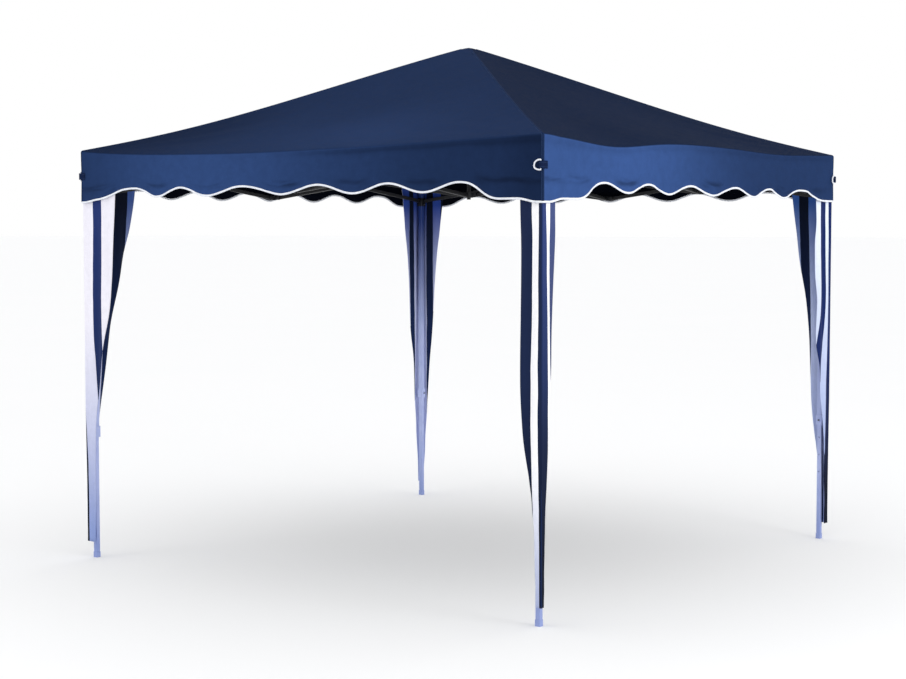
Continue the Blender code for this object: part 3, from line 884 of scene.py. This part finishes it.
def make_seam(turns, material):
    """The felled seam along a hip and the corner of the valance below it."""
    path = seam_path(turns)
    stations = []
    travelled = 0.0
    for number, (place, outward) in enumerate(path):
        before = path[max(0, number - 1)][0]
        after = path[min(len(path) - 1, number + 1)][0]
        travelled += (place - before).length
        run = (after - before).normalized()
        across = outward.cross(run).normalized()
        out = run.cross(across)
        stations.append((turned(place, turns), turned(across, turns), turned(out, turns), travelled))
    lift = 0.0012
    bend = 0.0024
    steps = ((1.0, -bend), (0.93, lift * 0.6 - bend), (0.5, lift - bend * 0.35))
    section = [(0, -0.0008)]
    section += [(SEAM_HALF * across, high) for across, high in steps]
    section += [(0, lift + 0.0004)]
    section += [(-SEAM_HALF * across, high) for across, high in reversed(steps)]
    seam = sweep("hip_seam_" + CORNERS[turns], stations, section, [material], False)
    # The seam's painted shade, like the roof's, a little darker down the valance corner than along the hip
    tones_and_painted_light = []
    for vertex in seam.data.vertices:
        tones_and_painted_light.append(mix(0.26, 0.30, smooth(EAVE_Z - 0.02, EAVE_Z + 0.005, vertex.co.z)))
    seam.data.attributes["tone_and_painted_light"].data.foreach_set("value", tones_and_painted_light)
    follow_legs(seam)
    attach(seam, "top_assembly")


# ---- Leg curtains ----

# Each curtain has two wings that meet at the corner edge. At the front right corner the first wing
# runs towards -X and the second towards +Y. A wing's reach is a row of (height, width).
# gather: how much each wing's stripes close up where it narrows
# edges: where the stripes change, from the first wing's free edge (negative) to the second's
# spread: how far the first wing's stripes close up low down, and the heights of the change
# twist: how far the stripes move round the corner low down
# white, navy, cool and shadow: each curtain's colours, painted lighter or darker with painted light and
# shade for its corner
CURTAINS = {
    "front_right": {
        "reach": (
            ((2.19, 0.133), (1.45, 0.120), (1.05, 0.110), (0.83, 0.094), (0.61, 0.061), (0.43, 0.044),
             (0.09, 0.033)),
            ((2.19, 0.118), (1.90, 0.116), (1.13, 0.084), (0.98, 0.064), (0.83, 0.044), (0.61, 0.036),
             (0.09, 0.030)),
        ),
        "gather": (0.30, 0.0),
        "edges": (-0.070, -0.024, 0.041, 0.077),
        "white": "fbfbff",
        "first_navy": True,
        "navy": ("1a2646", "2c3e76"),
        "cool": (-0.10, 0.75),
        "pale_end": 0.035,
        "shadow": "3a5a9e",
    },
    "back_right": {
        "reach": (
            ((2.19, 0.190), (1.92, 0.186), (1.81, 0.168), (1.62, 0.207), (1.41, 0.166), (1.17, 0.190),
             (0.97, 0.138), (0.77, 0.095), (0.45, 0.055), (0.09, 0.040)),
            ((2.19, 0.270), (1.92, 0.238), (1.62, 0.200), (1.41, 0.164), (1.17, 0.136), (0.92, 0.119),
             (0.77, 0.111), (0.61, 0.092), (0.45, 0.066), (0.30, 0.052), (0.09, 0.042)),
        ),
        "gather": (0.0, 0.27),
        "edges": (-0.132, -0.070, -0.032, 0.010, 0.045, 0.090, 0.147, 0.204),
        "spread": (0.52, 0.85, 1.50),
        "white": "e4ecfa",
        "first_navy": False,
        "navy": ("14255a", "1f2f5c"),
        "cool": (0.30, 1.90),
        "shadow": "3a62ae",
    },
    "back_left": {
        "reach": (
            ((2.19, 0.230), (1.96, 0.195), (1.68, 0.154), (1.40, 0.127), (0.92, 0.078), (0.51, 0.053),
             (0.09, 0.028)),
            ((2.19, 0.235), (1.96, 0.198), (1.68, 0.161), (1.12, 0.103), (0.92, 0.074), (0.51, 0.048),
             (0.09, 0.028)),
        ),
        "gather": (0.08, 0.36),
        "edges": (-0.185, -0.119, -0.066, 0.090, 0.138),
        "white": "f0f1ff",
        "first_navy": True,
        "navy": ("1a2850", "1a2850"),
        "cool": (0.10, 0.90),
        "shadow": "2f4aa0",
    },
    "front_left": {
        "reach": (
            ((2.19, 0.400), (1.93, 0.364), (1.73, 0.311), (1.56, 0.262), (1.35, 0.217), (1.13, 0.166),
             (0.86, 0.126), (0.65, 0.076), (0.41, 0.057), (0.09, 0.050)),
            ((2.19, 0.255), (1.93, 0.240), (1.56, 0.217), (1.35, 0.190), (1.13, 0.146), (0.98, 0.120),
             (0.85, 0.094), (0.75, 0.084), (0.50, 0.076), (0.09, 0.070)),
        ),
        "gather": (0.28, 0.0),
        "edges": (-0.325, -0.190, -0.100, -0.030, 0.070, 0.135),
        "white": "eae8f2",
        "first_navy": False,
        "navy": ("1c2a50", "22336a"),
        "cool": (0.15, 1.30),
        "shadow": "4a66ac",
        "twist": 0.045,
    },
}


def reach_at(points, height):
    """A wing's width at a height, with the corners between its straight runs eased."""

    def straight(z):
        for (high, wide), (low, narrow) in zip(points, points[1:]):
            if z >= low:
                return mix(narrow, wide, (z - low) / (high - low))
        return points[-1][1]

    total = 0.0
    for step in range(-3, 4):
        total += straight(min(points[0][0], max(points[-1][0], height + step * 0.018)))
    return total / 7


def wing_push(turns, wing, distance, reach, height):
    """How far a wing stands out from its plane."""
    seed = turns * 10 + wing * 5
    share = distance / max(reach, 0.01)
    free = smooth(0.0, 0.06, distance)
    hang = smooth(0.2, 0.7, height) * (1 - smooth(1.75, 2.05, height))
    wave = math.sin(distance / 0.08387 * 2 * math.pi + seed + 1.1 * ripple(height * 0.9, seed, 31))
    push = 0.0055 * wave * free * (0.35 + 0.65 * hang)
    push += 0.0060 * ripple(distance * 6.0, height * 1.4, seed + 32) * free
    push += 0.0100 * (share**2) * ripple(1.5, height * 1.9, seed + 33) * free * hang
    low = 1 - smooth(0.35, 0.85, height)
    pleats = math.sin(distance / 0.013 * 2 * math.pi + 3 * ripple(height * 2.0, 0.7, seed + 34))
    push += 0.0022 * pleats * low * free
    push += 0.0014 * ripple(distance * 30, height * 9.0, seed + 35) * (0.3 + 0.7 * low)
    push -= 0.0055 * low
    behind = smooth(1.70, 1.90, height)
    inwards = 0.010 * smooth(1.10, 1.90, height) * smooth(0.0, 0.045, distance)
    return push * (1 - 0.75 * behind) - inwards


def curtain_point(turns, place, height, plan):
    """A point of a curtain, and how far along the cloth it is from the corner edge.

    place is from -1 to 1, from the first wing's free edge to the second's.
    """
    wing = 0 if place < 0 else 1
    reach = reach_at(plan["reach"][wing], height)
    distance = abs(place) * reach
    push = wing_push(turns, wing, distance, reach, height)
    if distance < CURTAIN_CORNER:
        angle = (1 - distance / CURTAIN_CORNER) * math.pi / 4
        inner = CURTAIN_OFFSET - CURTAIN_CORNER
        side_on = inner + CURTAIN_CORNER * math.sin(angle)
        face_on = inner + CURTAIN_CORNER * math.cos(angle) + push
    else:
        side_on = CURTAIN_OFFSET - distance
        face_on = CURTAIN_OFFSET + push
    gathered = distance * (plan["reach"][wing][0][1] / reach) ** plan["gather"][wing]
    if wing == 0 and "spread" in plan:
        least, low, high = plan["spread"]
        gathered *= mix(least, 1.0, smooth(low, high, height))
    twist = plan.get("twist", 0.0) * (1 - smooth(0.4, 1.5, height))
    if wing == 0:
        return Vector((side_on, -face_on, height)), -gathered - twist
    return Vector((face_on, -side_on, height)), gathered - twist


def hang_curtain(curtain, turns, corner):
    """The wings' free edges follow the neighbouring legs as the frame folds, and the low end its own leg."""
    for wing, neighbour in enumerate((CORNERS[turns - 1], CORNERS[(turns + 1) % 4])):

        def weight_at(place, wing=wing):
            local = turned(place, -turns)
            distance = CURTAIN_OFFSET - (local.x if wing == 0 else -local.y)
            return 0.6 * max(0.0, distance - 0.01) / (2 * LEG_OFFSET)

        follow(curtain, neighbour + "_outer_leg", weight_at)
    bunched = BUNCH_TOP_Z - CURTAIN_LOW_Z
    follow(curtain, corner + "_inner_leg", lambda place: (BUNCH_TOP_Z - place.z) / bunched)


def make_curtain(turns, corner):
    plan = CURTAINS[corner]
    outer = curtain_material("striped_cloth_" + corner, plan, False)
    inner = curtain_material("striped_cloth_inside_" + corner, plan, True)
    places = []
    for step in range(-WING_STEPS, WING_STEPS + 1):
        share = abs(step) / WING_STEPS
        places.append(math.copysign(0.12 * share + 0.88 * share**1.25, step))
    width = len(places)
    points, flat, hem_points = [], [], []
    for row in range(CURTAIN_ROWS + 1):
        height = mix(CURTAIN_LOW_Z, CURTAIN_TOP_Z, row / CURTAIN_ROWS)
        for column, place in enumerate(places):
            if row <= 1 or min(column, width - 1 - column) <= 1:
                hem_points.append(len(points))
            point, along = curtain_point(turns, place, height, plan)
            points.append(turned(point, turns))
            flat.append((along, height))
    faces = []
    for row in range(CURTAIN_ROWS):
        for column in range(width - 1):
            first = row * width + column
            faces.append([first, first + 1, first + width + 1, first + width])
    faces_flat = [flat[index] for face in faces for index in face]
    curtain = new_piece("leg_curtain_cloth_" + corner, points, faces, faces_flat, [outer, inner])
    curtain.vertex_groups.new(name="hem").add(hem_points, 1.0, "REPLACE")
    hang_curtain(curtain, turns, corner)
    thicken(curtain, CURTAIN_CLOTH, "hem", 0.45)
    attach(curtain, corner + "_outer_leg")
    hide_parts(corner + "_leg_curtain")


# ---- Guy rope rings and tabs ----


def make_ring(turns, corner, plastic):
    """A white D ring on the corner seam, ready for a guy rope."""
    wire, half_high, bulge = 0.0040, 0.0225, 0.032
    centre = Vector((HALF - 0.0082, -HALF - 0.0080, RING_Z))
    spine = []
    for step in range(15):
        angle = math.pi * (0.5 + step / 14)
        high = math.copysign(abs(math.sin(angle)) ** 0.7, math.sin(angle))
        spine.append((bulge * math.cos(angle) * (1 - 0.15 * math.sin(angle)), half_high * high))
    for step in range(1, 6):
        spine.append((0.0, half_high * (step / 3 - 1)))
    out = Vector((0, -1, 0))
    stations = []
    travelled = 0.0
    for number, (along, high) in enumerate(spine):
        before, after = spine[number - 1], spine[(number + 1) % len(spine)]
        run = Vector((after[0] - before[0], 0, after[1] - before[1])).normalized()
        place = centre + Vector((along, 0.06 * along, high))
        travelled += math.dist(spine[number], before) if number else 0.0
        stations.append((turned(place, turns), turned(out.cross(run), turns), turned(out, turns), travelled))
    section = [(wire * math.cos(math.pi * i / 5), -wire * math.sin(math.pi * i / 5)) for i in range(10)]
    ring = sweep("guy_ring_" + corner, stations, section, [plastic], True)
    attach(ring, corner + "_outer_leg")


# The tab's path in plan from the corner of the eave, as (towards +X, towards -Y): it lies along the
# right side, goes round the corner seam, turns through the ring and comes back to the seam
TAB_PATH = (
    (0.0022, -0.034),
    (0.0026, -0.016),
    (0.0030, -0.003),
    (0.0032, 0.0080),
    (-0.0020, 0.0134),
    (-0.0090, 0.0140),
    (-0.0135, 0.0105),
    (-0.0138, 0.0060),
    (-0.0100, 0.0030),
    (-0.0030, 0.0024),
)


def make_tab(turns, corner, webbing):
    """The webbing tab that holds a ring."""
    half_width, thick = 0.0172, 0.0008
    up = Vector((0, 0, 1))
    path = [Vector((HALF + right, -HALF - front, RING_Z)) for right, front in TAB_PATH]
    stations = []
    travelled = 0.0
    for number, place in enumerate(path):
        before = path[max(0, number - 1)]
        after = path[min(len(path) - 1, number + 1)]
        travelled += (place - before).length
        out = up.cross((after - before).normalized())
        stations.append((turned(place, turns), up, turned(out, turns), travelled))
    section = [(-half_width, -thick), (half_width, -thick), (half_width, thick), (-half_width, thick)]
    tab = sweep("guy_tab_" + corner, stations, section, [webbing], False)
    tab.data.shade_flat()
    soften = tab.modifiers.new("Edges", "BEVEL")
    soften.width = 0.0004
    soften.segments = 2
    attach(tab, corner + "_outer_leg")


# ---- Studio ----


def make_floor():
    mesh = bpy.data.meshes.new("studio_floor")
    reach = 400.0
    corners = [(-reach, -reach, 0), (reach, -reach, 0), (reach, reach, 0), (-reach, reach, 0)]
    mesh.from_pydata(corners, [], [(0, 1, 2, 3)])
    floor = bpy.data.objects.new("studio_floor", mesh)
    bpy.context.scene.collection.objects.link(floor)
    material, tree, shader = new_material("studio_floor", **{"Roughness": 0.9, "Specular IOR Level": 0.1})
    place = make(tree, "ShaderNodeTexCoord").outputs["Object"]
    cloud = noise_value(tree, place, 0.4, 2.0)
    base = blend_colour(tree, cloud, linear("fdfdfe"), linear("fbfcfd"))
    tree.links.new(base, shader.inputs["Base Color"])
    mesh.materials.append(material)


def make_world():
    world = bpy.data.worlds.new("studio")
    world.use_nodes = True
    bpy.context.scene.world = world
    back = world.node_tree.nodes["Background"]
    back.inputs["Color"].default_value = (1.0, 1.0, 1.0, 1.0)
    back.inputs["Strength"].default_value = 1.0


def make_lamp(name, place, aim, size, power):
    lamp = bpy.data.lights.new(name, "AREA")
    lamp.shape = "DISK"
    lamp.size = size
    lamp.energy = power
    item = bpy.data.objects.new(name, lamp)
    item.location = place
    item.rotation_euler = (Vector(aim) - Vector(place)).to_track_quat("-Z", "Y").to_euler()
    bpy.context.scene.collection.objects.link(item)


def make_camera():
    azimuth, elevation = math.radians(36.61), math.radians(3.46)
    level = math.cos(elevation)
    back = Vector((math.sin(azimuth) * level, -math.cos(azimuth) * level, math.sin(elevation)))
    lens = bpy.data.cameras.new("camera")
    lens.lens = 71.89
    lens.sensor_width = 36.0
    camera = bpy.data.objects.new("camera", lens)
    camera.location = (5.961, -8.171, 1.785)
    camera.rotation_euler = (-back).to_track_quat("-Z", "Y").to_euler()
    bpy.context.scene.collection.objects.link(camera)
    bpy.context.scene.camera = camera


# ---- Assembly ----


def make_soft_goods():
    navy, faded = linear("365187"), linear("334d80")
    cloth = cloth_material("canopy_cloth_outside", navy, faded, creased=True)
    # The canopy's inside is painted near black, as painted shade under the roof
    inside_painted_shade = cloth_material("canopy_cloth_inside", linear("0f1422"), linear("0b0f1a"), sheen=0.0)
    seam_cloth = cloth_material("canopy_seam", navy, faded, seam=0.005)
    webbing = cloth_material("tab_webbing", linear("182443"), linear("141e38"), seam=0.010)
    ring_plastic = plastic_material("ring_nylon", linear("eef1f8"), linear("ccd2e0"), 0.35)
    make_canopy([cloth, inside_painted_shade])
    make_hem_tape(piping_material())
    for turns, corner in enumerate(CORNERS):
        make_seam(turns, seam_cloth)
        make_curtain(turns, corner)
        make_ring(turns, corner, ring_plastic)
        make_tab(turns, corner, webbing)


def finish_frame():
    """Give every CAD node of the frame its paint or plastic."""
    leg = paint_material("leg_paint", linear("b2bde8"), linear("a2afdf"), linear("c9cfe6"), leg=True)
    # The bars are dark paint, painted near black as painted shade under the canopy
    bar = paint_material("bar_paint", linear("101116"), linear("0c0d11"), linear("24262e"))
    nylon = plastic_material("bracket_nylon", linear("17181c"), linear("33363c"), 0.48)
    button = plastic_material("button_nylon", linear("3a3d44"), linear("7c818c"), 0.42)
    for name, item in frame["nodes"].items():
        if name.endswith("_button"):
            finish = button
        elif name.endswith(("_hub", "_bracket", "_slider")):
            finish = nylon
        elif name.endswith("_leg"):
            finish = leg
        else:
            finish = bar
        for material_slot in item.material_slots:
            material_slot.material = finish


make_soft_goods()
finish_frame()
make_floor()
make_world()
make_lamp("key_right", (10.5, -1.5, 3.2), (1.5, 0, 1.6), 4.0, 260)
make_lamp("fill_left", (-3.6, -6.5, 2.0), (-0.8, -1.5, 2.0), 2.5, 40)
make_camera()
bpy.context.scene.view_settings.view_transform = "Standard"
